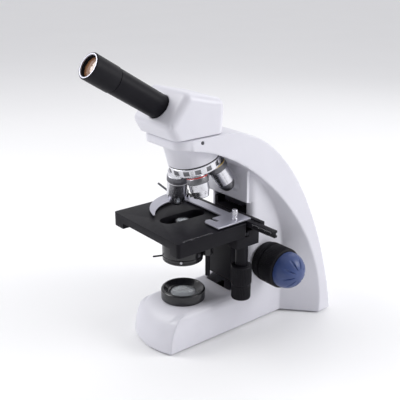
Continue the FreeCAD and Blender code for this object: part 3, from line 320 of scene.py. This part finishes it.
def cast_stand():
    """The base, nose and arched arm as one painted casting with soft corners."""
    nodes = ["stand_base", "stand_arch", "nose_cover"]
    skin = dense_skin("stand", nodes, 1.2, 5, round_cast_corners)
    add_piece("stand_casting", skin, "stand", "stand_white", replaces=nodes)


cast_stand()
bevelled("nosepiece_mount", 0.6)


# ---------------------------------------------------------------- lamp house
LAMP_AXIS, LAMP_UP = (0, 0, 0), (0, 0, 1)
RING_RADIUS, RING_BOTTOM, RING_TOP, LENS_RADIUS = 27.2, 49.0, 62.0, 15.8

collector_profile = [
    (LENS_RADIUS + 0.1, RING_BOTTOM - 3), (22.0, RING_BOTTOM - 3), (22.0, RING_BOTTOM),
    (RING_RADIUS - 0.4, RING_BOTTOM),
    (RING_RADIUS, RING_BOTTOM + 0.4), (RING_RADIUS, RING_TOP - 1.4), (RING_RADIUS - 1.4, RING_TOP),
    (24.2, RING_TOP), (23.4, RING_TOP - 0.8), (18.2, RING_TOP - 4.4), (17.0, RING_TOP - 4.8),
    (LENS_RADIUS + 0.1, RING_TOP - 5.5)]
piece_from(turned(softened(collector_profile), LAMP_AXIS, LAMP_UP, 128), "collector_ring_finished",
           "stand", "gloss_black", replaces=["collector_ring"])
dome = [(LENS_RADIUS * math.cos(turn), RING_TOP - 6.5 + 3.5 * math.sin(turn))
        for turn in np.linspace(0, math.pi / 2, 12)[:-1]]
piece_from(turned([(0, RING_TOP - 9), (LENS_RADIUS, RING_TOP - 9), *dome, (0, RING_TOP - 3)],
                  LAMP_AXIS, LAMP_UP, 128), "collector_lens_finished",
           "stand", "optical_glass", replaces=["collector_lens"])


# ---------------------------------------------------------------- focus knobs
KNOB_AXIS = Vector((0, 100.0, 85.0)) * MM
COARSE_START, COARSE_END, COARSE_RADIUS = 46.0, 76.0, 25.5
FLUTES = 9
SHAFT_END = 90.0
FINE_RADIUS, FINE_END = 22.5, 100.5
RIB_STEPS = 6


def coarse_knob(side, heading):
    """A ribbed black knob with a smooth seam and rounded rims."""
    start, end, full = COARSE_START, COARSE_END, COARSE_RADIUS
    seam = start + 7.6
    bore, recess = 5.2, 14.0
    profile = [
        (bore, start), (full - 1.6, start), (full - 0.4, start + 0.5), (full, start + 1.6),
        (full, seam - 1.2), (full - 0.2, seam - 0.8), (full - 1.1, seam - 0.6),
        (full - 1.1, seam + 0.6), (full - 0.2, seam + 0.8), (full, seam + 1.2),
        (full, end - 2.4), (full - 0.7, end - 0.9), (full - 2.2, end), (recess, end),
        (recess, end - 4), (bore, end - 4)]
    count = 72
    grip = ribs(count, 0.55, start + 1.4, end - 2.2, 0.6)
    shape = turned(profile, KNOB_AXIS, heading, count * RIB_STEPS, grip)
    piece_from(shape, f"coarse_knob_{side}_finished", "coarse", "black_plastic",
               replaces=[f"coarse_knob_{side}"])


def fine_knob(side, heading):
    """A domed blue knob with narrow scooped flutes."""
    start = COARSE_END + 0.4
    dome_height = FINE_END - start - 3.0
    bore = 2.5
    profile = [(bore, start), (FINE_RADIUS - 0.5, start), (FINE_RADIUS, start + 0.5),
               (FINE_RADIUS, start + 3.0)]
    rows = 26
    for row in range(1, rows):
        turn = math.pi / 2 * row / rows
        profile.append((FINE_RADIUS * math.cos(turn) ** 0.95, start + 3.0 + dome_height * math.sin(turn)))
    profile += [(0, FINE_END - 0.02), (0, SHAFT_END), (bore, SHAFT_END)]

    def flutes(angle, radius, height):
        across = (radius - 7.0) / 12.5
        if not 0 < across < 1:
            return radius
        wave = max(0.0, math.cos(FLUTES * angle)) ** 6
        return radius - 2.6 * wave * math.sin(math.pi * across) ** 0.6

    piece_from(turned(profile, KNOB_AXIS, heading, FLUTES * 30, flutes), f"fine_knob_{side}_finished",
               "fine", "blue_plastic", replaces=[f"fine_knob_{side}"])


for side, heading in (("right", (1, 0, 0)), ("left", (-1, 0, 0))):
    coarse_knob(side, heading)
    fine_knob(side, heading)
tension_profile = [(9.1, 40.3), (23.2, 40.3), (24.0, 41.1), (24.0, 44.6), (23.2, 45.4), (9.1, 45.4)]
piece_from(turned(softened(tension_profile, 0.3), KNOB_AXIS, (1, 0, 0), 60 * RIB_STEPS,
                  ribs(60, 0.4, 41.0, 44.8, 0.6)), "tension_ring_finished",
           "tension", "black_plastic", replaces=["tension_ring"])


# ---------------------------------------------------------------- stage and its drive
for node, width in (("stage_plate", 0.7), ("gear_housing", 0.5), ("x_guide", 0.4), ("x_bar", 0.25),
                    ("slide_holder", 0.4), ("spring_finger", 0.35), ("lower_stage_plate", 0.5),
                    ("focus_slide", 0.5), ("power_switch", 0.5), ("power_inlet", 0.4)):
    bevelled(node, width)

COAX_AT = Vector((56.0, 45.5, 0)) * MM


def coax_knob(name, body, low, high, radius, count, bore):
    """A slim knob with fine upright ribs between two plain rims."""
    profile = [
        (bore, low), (radius - 1.4, low), (radius - 0.6, low + 0.3), (radius - 0.2, low + 1.0),
        (radius - 0.2, low + 1.9), (radius, low + 2.2), (radius, high - 2.2), (radius - 0.2, high - 1.9),
        (radius - 0.2, high - 1.0), (radius - 0.6, high - 0.3), (radius - 1.4, high), (bore, high)]
    grip = ribs(count, 0.75, low + 2.0, high - 2.0, 0.7)
    piece_from(turned(profile, COAX_AT, (0, 0, 1), count * RIB_STEPS, grip), name + "_finished",
               body, "black_plastic", replaces=[name])


coax_knob("y_knob", "y_drive", 75.6, 100.0, 12.6, 40, 4.3)
coax_knob("x_knob", "x_drive", 56.5, 75.3, 11.8, 38, 2.1)

screw_at = Vector((52.5, 36.5, 159.0)) * MM
screw_profile = [(0, 0.05), (3.4, 0.05), (3.4, 1.2), (2.9, 1.6), (2.9, 5.2), (3.25, 5.6), (3.25, 11.6),
                 (2.6, 12.3), (0, 12.5)]
piece_from(turned(softened(screw_profile, 0.25), screw_at, (0, 0, 1), 24 * RIB_STEPS,
                  ribs(24, 0.3, 5.7, 11.5, 0.7)), "holder_screw_finished",
           "x_carriage", SLOT_OF["holder_screw"], replaces=["holder_screw"])


def scale_print(name, body, count, tick):
    """A printed scale of thin raised ticks; every fifth is longer."""
    shape = bmesh.new()
    for index in range(count):
        length = 2.6 if index % 5 == 0 else 1.4
        low, high = tick(SCALE_PITCH * index, length)
        box_shape(low, high, shape)
    piece_from(shape, name, body, "black_metal", PRINT)


SCALE_PITCH, TICK_HALF = 2.0, 0.12
STAGE_TOP = 155.2
Y_SCALE_X, Y_SCALE_START = 60.0, -45.0
scale_print("y_scale", "stage", 21, lambda along_scale, length: (
    (Y_SCALE_X, Y_SCALE_START + along_scale - TICK_HALF, STAGE_TOP - 0.02),
    (Y_SCALE_X + length, Y_SCALE_START + along_scale + TICK_HALF, STAGE_TOP + 0.03)))
BAR_FRONT, BAR_TOP = 47.0, 157.0
X_SCALE_START, X_SCALE_TOP = 72.0, BAR_TOP - 0.6
scale_print("x_scale", "x_carriage", 16, lambda along_scale, length: (
    (X_SCALE_START + along_scale - TICK_HALF, BAR_FRONT - 0.03, X_SCALE_TOP - length),
    (X_SCALE_START + along_scale + TICK_HALF, BAR_FRONT + 0.02, X_SCALE_TOP)))

# ---------------------------------------------------------------- condenser
condenser_profile = [
    (9.0, 104.2), (24.4, 104.2), (25.0, 104.8), (25.0, 107.6), (24.4, 108.2), (20.0, 108.2), (20.0, 143.4),
    (19.4, 144.0), (9.2, 144.0), (9.2, 150.9), (8.6, 151.5), (7.6, 151.5), (7.6, 149.0), (6.6, 149.0),
    (6.6, 128.0), (9.0, 128.0)]
piece_from(turned(softened(condenser_profile, 0.3), (0, 0, 0), (0, 0, 1), 128), "condenser_body_finished",
           "condenser", "gloss_black", replaces=["condenser_body"])
bevelled("condenser_holder", 0.5)
bevelled("iris_lever", 0.25)

# ---------------------------------------------------------------- nosepiece and objectives
NOSE_APEX = Vector((0, 0, 286.9)) * MM
NOSE_TILT = math.radians(16.0)
NOSE_AXIS = Vector((0, math.sin(NOSE_TILT), -math.cos(NOSE_TILT)))
NOSE_FRONT = Vector((0, -math.cos(NOSE_TILT), -math.sin(NOSE_TILT)))
SEAT = 79.9
REST_TURN = math.radians(-38.0)
TURRET_RADIUS, TURRET_START, TURRET_END = 31.4, 63.6, 75.4


def objective_axis(index):
    """The direction of one objective from the nosepiece's apex."""
    around = REST_TURN + index * math.pi / 2
    outward = NOSE_FRONT * math.cos(around) + Vector((1, 0, 0)) * math.sin(around)
    return NOSE_AXIS * math.cos(NOSE_TILT) + outward * math.sin(NOSE_TILT)


def turret():
    """The turret: a bright ring that is turned by hand, with dark grip pads, over a shallow cone."""
    pads = 14
    steps = pads * 12
    rim = TURRET_END - 1.2
    seat_radius = SEAT * math.sin(NOSE_TILT)
    outline = [
        (4.1, TURRET_START), (TURRET_RADIUS - 0.9, TURRET_START),
        (TURRET_RADIUS, TURRET_START + 0.7), (TURRET_RADIUS, TURRET_START + 2.4),
        (TURRET_RADIUS, TURRET_START + 2.5), (TURRET_RADIUS, rim - 2.6), (TURRET_RADIUS, rim - 2.5),
        (TURRET_RADIUS, rim - 0.7), (TURRET_RADIUS - 0.8, rim), (seat_radius, TURRET_END + 1.4),
        (9.2, TURRET_END + 4.6), (7.6, 84.2), (4.1, 84.2)]

    def in_pad(angle):
        return (angle * pads / (2 * math.pi)) % 1.0 < 0.46

    def relief(angle, radius, height):
        sunk = in_pad(angle) and TURRET_START + 2.45 < height < rim - 2.55
        return radius - 0.8 if sunk else radius

    def paint(angle, row):
        return 1 if in_pad(angle) and row in (3, 4, 5) else 0

    shape = turned(outline, NOSE_APEX, NOSE_AXIS, steps, relief, paint)
    piece_from(shape, "turret_finished", "nosepiece", "chrome", CHROME, KNURL, replaces=["turret"])


def turret_gap_shade():
    """A near-black ring set into the gap between the fixed cone and the ring: painted shade for the shadow
    inside the gap.
    """
    outline = [(TURRET_RADIUS - 6.0, TURRET_START - 1.35), (TURRET_RADIUS - 0.5, TURRET_START - 1.35),
               (TURRET_RADIUS - 0.5, TURRET_START - 0.05), (TURRET_RADIUS - 6.0, TURRET_START - 0.05)]
    piece_from(turned(outline, NOSE_APEX, NOSE_AXIS, 128), "turret_gap_shade", "nosepiece", "black_metal", PAINTED_GAP_SHADE)


POWERS = {
    "objective_100x": {
        "outline": [(12.0, 0.2), (12.0, 5.4), (13.0, 5.8), (13.0, 12.2), (12.6, 12.6), (12.3, 30.0),
                    (10.9, 38.6), (9.8, 39.4), (6.4, 43.6), (3.6, 44.6)],
        "lens": 1.6, "grip": (5.9, 12.1), "band": (13.2, 14.4), "tip": 38.8, "finish": BAND_WHITE},
    "objective_4x": {
        "outline": [(12.2, 0.2), (12.2, 2.0), (12.6, 2.3), (12.6, 8.6), (11.8, 9.0), (11.4, 17.5),
                    (9.6, 22.5), (9.0, 25.6), (7.4, 26.4)],
        "lens": 6.0, "grip": (2.5, 8.4), "band": (0.3, 1.9), "tip": 30.0, "finish": BAND_RED},
    "objective_10x": {
        "outline": [(12.2, 0.2), (12.2, 2.0), (12.6, 2.3), (12.6, 8.6), (11.6, 9.0), (11.3, 28.0),
                    (9.4, 33.0), (6.8, 37.8), (5.6, 38.8)],
        "lens": 3.8, "grip": (2.5, 8.4), "band": (0.3, 1.9), "tip": 27.8, "finish": BAND_GOLD},
    "objective_40x": {
        "outline": [(12.2, 0.2), (12.2, 2.0), (12.6, 2.3), (12.6, 8.6), (12.0, 9.0), (11.8, 29.0),
                    (9.0, 35.0), (7.0, 42.4), (4.0, 43.6)],
        "lens": 2.2, "grip": (2.5, 8.4), "band": (0.3, 1.9), "tip": 34.8, "finish": BAND_BLUE},
}


def radius_at(outline, reach):
    """The outline's radius at a distance from the seat."""
    for (r1, h1), (r2, h2) in zip(outline, outline[1:]):
        if h1 <= reach <= h2:
            return r1 + (r2 - r1) * (reach - h1) / max(h2 - h1, 1e-6)
    return outline[-1][0]


def objective(name, index, power):
    """One objective: bright body, dark knurled grip, coloured band and dark tip."""
    direction = objective_axis(index)
    outline, lens, tip = power["outline"], power["lens"], power["outline"][-1][1]
    profile = [(6.8, SEAT - 4.2), (10.05, SEAT - 4.2), (10.05, SEAT + 0.2)]
    profile += [(radius, SEAT + reach) for radius, reach in outline]
    profile += [(lens, SEAT + tip), (lens, SEAT + tip - 2.5), (6.8, SEAT + 12)]
    rounded = softened(profile, 0.3)
    grip_low, grip_high = power["grip"]
    count = 48

    def knurl(angle, radius, height):
        reach = height - SEAT
        if radius > 11 and grip_low + 0.1 < reach < grip_high - 0.1:
            return radius - 0.35 * (0.5 + 0.5 * math.cos(count * angle))
        return radius

    def paint(angle, row):
        radius, height = rounded[row]
        after = rounded[(row + 1) % len(rounded)]
        reach = (height + after[1]) / 2 - SEAT
        if radius > 11 and grip_low - 0.3 < reach < grip_high + 0.3:
            return 1
        if reach > power["tip"] or radius < 6.9 and reach < 13:
            return 1
        return 0

    piece_from(turned(rounded, NOSE_APEX, direction, count * RIB_STEPS, knurl, paint), name + "_finished",
               "nosepiece", "chrome", CHROME, KNURL, replaces=[name])
    grip_radius = radius_at(outline, (grip_low + grip_high) / 2)
    middle = (grip_low + grip_high) / 2
    grip_rows = [
        (grip_radius - 1.5, SEAT + grip_low), (grip_radius - 0.3, SEAT + grip_low),
        (grip_radius + 0.05, SEAT + grip_low + 0.4), (grip_radius + 0.05, SEAT + middle - 0.35),
        (grip_radius - 0.25, SEAT + middle - 0.15), (grip_radius - 0.25, SEAT + middle + 0.15),
        (grip_radius + 0.05, SEAT + middle + 0.35), (grip_radius + 0.05, SEAT + grip_high - 0.4),
        (grip_radius - 0.3, SEAT + grip_high), (grip_radius - 1.5, SEAT + grip_high)]
    shape = turned(grip_rows, NOSE_APEX, direction, count * RIB_STEPS,
                   ribs(count, 0.4, SEAT + grip_low + 0.3, SEAT + grip_high - 0.3, 0.7))
    piece_from(shape, name + "_grip", "nosepiece", "chrome", KNURL)
    low, high = power["band"]
    band_radius = radius_at(outline, (low + high) / 2)
    band = [
        (band_radius - 1.0, SEAT + low), (band_radius - 0.1, SEAT + low),
        (band_radius + 0.15, SEAT + low + 0.2), (band_radius + 0.15, SEAT + high - 0.2),
        (band_radius - 0.1, SEAT + high), (band_radius - 1.0, SEAT + high)]
    piece_from(turned(band, NOSE_APEX, direction, 96), name + "_band", "nosepiece", "chrome", power["finish"])


turret()
# The gap ring is painted shade, not a part of the microscope.
turret_gap_shade()
for index, (name, power) in enumerate(POWERS.items()):
    objective(name, index, power)

# ---------------------------------------------------------------- head, tube and eyepiece
HEAD_HALF, HEAD_BOTTOM = 37.0, 259.3
TUBE_TILT = math.radians(32.0)
TUBE_AXIS = Vector((0, -math.cos(TUBE_TILT), math.sin(TUBE_TILT)))
TUBE_CROSS = Vector((0, 0, 272.7)) * MM
TUBE_START, TUBE_END, EYE_END, EYE_RADIUS, BARREL_RADIUS = 30.0, 103.5, 136.8, 15.0, 11.6
GROOVE_LINE = [(-20.0, 320.0), (-35.5, 290.0), (-39.5, 280.0), (-39.0, 270.0)]
GROOVE_HALF, GROOVE_DEPTH = 1.3, 0.9


def near_line(y, z, line):
    """The distance from points to a broken line, in mm."""
    nearest = np.full(len(y), 1e9)
    for (y1, z1), (y2, z2) in zip(line, line[1:]):
        run = np.array((y2 - y1, z2 - z1))
        part = np.clip(((y - y1) * run[0] + (z - z1) * run[1]) / run.dot(run), 0, 1)
        nearest = np.minimum(nearest, np.hypot(y - y1 - part * run[0], z - z1 - part * run[1]))
    return nearest


def head():
    """The head's housing, softly rounded, with a shallow groove behind its front face on both sides."""
    dense = dense_skin("head", ["head_shell"], 0.8, 14)
    points = mesh_points(dense)
    x, y, z = points.T
    on_side = np.clip((np.abs(x) - (HEAD_HALF - 5.0)) / 3.0, 0, 1)
    depth = GROOVE_DEPTH * np.clip(1 - near_line(y, z, GROOVE_LINE) / GROOVE_HALF, 0, 1) * on_side
    points[:, 0] = x - np.sign(x) * depth
    dense.vertices.foreach_set("co", (points * MM).ravel())
    add_piece("head_finished", dense, "head", "stand_white", replaces=["head_shell"])


eye_profile = [
    (9.6, TUBE_END - 4), (BARREL_RADIUS, TUBE_END - 4), (BARREL_RADIUS, TUBE_END + 0.3),
    (EYE_RADIUS - 0.5, TUBE_END + 0.3), (EYE_RADIUS, TUBE_END + 0.9), (EYE_RADIUS, EYE_END - 1.2),
    (EYE_RADIUS - 0.35, EYE_END - 0.4), (EYE_RADIUS - 1.0, EYE_END), (14.0, EYE_END), (14.0, EYE_END - 1.5),
    (12.0, EYE_END - 2.5), (12.0, EYE_END - 6.5), (9.6, EYE_END - 6.5)]
piece_from(turned(softened(eye_profile, 0.25), TUBE_CROSS, TUBE_AXIS, 128), "eyepiece_body_finished",
           "eyepiece", SLOT_OF["eyepiece_body"], replaces=["eyepiece_body"])
ring_profile = [(12.2, EYE_END - 1.4), (13.95, EYE_END - 1.4), (13.95, EYE_END), (12.6, EYE_END),
                (12.2, EYE_END - 0.4)]
piece_from(turned(softened(ring_profile, 0.2), TUBE_CROSS, TUBE_AXIS, 128), "eyepiece_ring_finished",
           "eyepiece", SLOT_OF["eyepiece_ring"], replaces=["eyepiece_ring"])


# ---------------------------------------------------------------- floor, light and camera
def floor():
    """A wide pale floor."""
    shape = bmesh.new()
    bmesh.ops.create_grid(shape, x_segments=1, y_segments=1, size=60.0)
    mesh = bpy.data.meshes.new("floor")
    shape.to_mesh(mesh)
    shape.free()
    mesh.materials.append(material("pale_floor", (0.94, 0.94, 0.945), (0.97, 0.97, 0.975), (0.60, 0.75),
                                   patch=3))
    thing = bpy.data.objects.new("floor", mesh)
    bpy.context.scene.collection.objects.link(thing)


def area_light(name, at, towards, size, power, colour=(1, 1, 1)):
    """A soft square light that faces a point."""
    lamp = bpy.data.lights.new(name, "AREA")
    lamp.shape = "SQUARE"
    lamp.size = size
    lamp.energy = power
    lamp.color = colour
    thing = bpy.data.objects.new(name, lamp)
    bpy.context.scene.collection.objects.link(thing)
    facing = (Vector(towards) - Vector(at)).to_track_quat("-Z", "Y")
    thing.matrix_world = Matrix.Translation(Vector(at)) @ facing.to_matrix().to_4x4()


def camera():
    """The camera, seen from the front right and a little above."""
    lens = bpy.data.cameras.new("camera")
    lens.lens = 62.1
    lens.sensor_width = 36.0
    lens.clip_start = 0.01
    back = Vector((0.734, -0.586, 0.344)).normalized()
    right = Vector((0, 0, 1)).cross(back).normalized()
    up = back.cross(right)
    thing = bpy.data.objects.new("camera", lens)
    bpy.context.scene.collection.objects.link(thing)
    turn = Matrix((right, up, back)).transposed().to_4x4()
    thing.matrix_world = Matrix.Translation((0.6094, -0.4597, 0.4556)) @ turn
    bpy.context.scene.camera = thing


def studio():
    """Pale surroundings, darker towards the front right, so that bright metal has something to show."""
    world = bpy.data.worlds.new("studio")
    bpy.context.scene.world = world
    world.use_nodes = True
    nodes, links = world.node_tree.nodes, world.node_tree.links
    backdrop = nodes["Background"]
    backdrop.inputs["Color"].default_value = (0.97, 0.97, 1.0, 1)
    place = nodes.new("ShaderNodeTexCoord")
    facing = nodes.new("ShaderNodeVectorMath")
    facing.operation = "DOT_PRODUCT"
    facing.inputs[1].default_value = Vector((0.74, -0.66, 0.10)).normalized()
    links.new(place.outputs["Generated"], facing.inputs[0])
    fall = nodes.new("ShaderNodeMapRange")
    fall.interpolation_type = "SMOOTHSTEP"
    for socket, value in (("From Min", 0.25), ("From Max", 0.85), ("To Min", 0.80), ("To Max", 0.30)):
        fall.inputs[socket].default_value = value
    links.new(facing.outputs["Value"], fall.inputs["Value"])
    links.new(fall.outputs["Result"], backdrop.inputs["Strength"])


head()
floor()
camera()
studio()
MIDDLE = (0, 0.05, 0.17)
area_light("key", (-0.85, -0.85, 1.15), MIDDLE, 0.8, 10.0)
area_light("side", (0.95, 0.95, 0.85), MIDDLE, 0.7, 10.0)
area_light("back", (-0.6, 1.2, 1.0), MIDDLE, 0.8, 2.0)
bpy.context.scene.view_settings.view_transform = "Standard"
